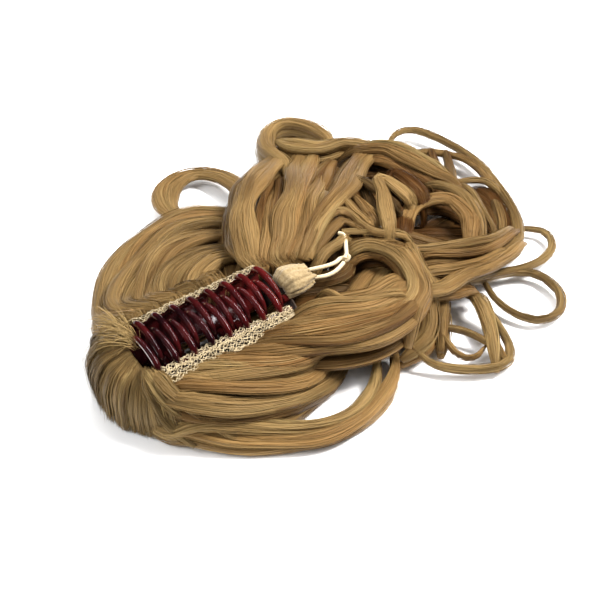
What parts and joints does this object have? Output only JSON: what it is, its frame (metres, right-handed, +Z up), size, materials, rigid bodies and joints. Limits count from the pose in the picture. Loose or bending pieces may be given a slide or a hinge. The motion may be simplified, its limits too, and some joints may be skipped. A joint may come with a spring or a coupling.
{
  "type": "ponytail hairpiece on a claw clip",
  "caption": "Curled light-brown ponytail hairpiece lying in a loose heap, with a dark red claw clip, a crocheted net band, a small cloth hood and a knotted draw elastic.",
  "frame": {"origin": "on the resting plane beneath the middle of the claw's near row of teeth", "axes": "+X along the claw from its front end to the cloth hood, +Y across the claw to the far jaw, +Z up from the resting plane"},
  "size_m": [0.3158, 0.2602, 0.0425],
  "materials": {
    "claw": "glossy, dark mahogany red, slightly translucent",
    "pin": "plain wire",
    "net": "cream crocheted thread",
    "hood_cloth": "cream woven cloth, gathered",
    "elastic": "pale cream braided elastic",
    "hair": "light brown fibre, satin sheen along the strands"
  },
  "bodies": {
    "root": {"near_jaw": "claw", "far_jaw": "claw", "hinge_pin": "pin", "net_base": "net", "hood": "hood_cloth", "elastic_upper": "elastic", "elastic_lower": "elastic", "elastic_tail": "elastic", "elastic_knot": "elastic", "hair": "hair"}
  },
  "joints": []
}
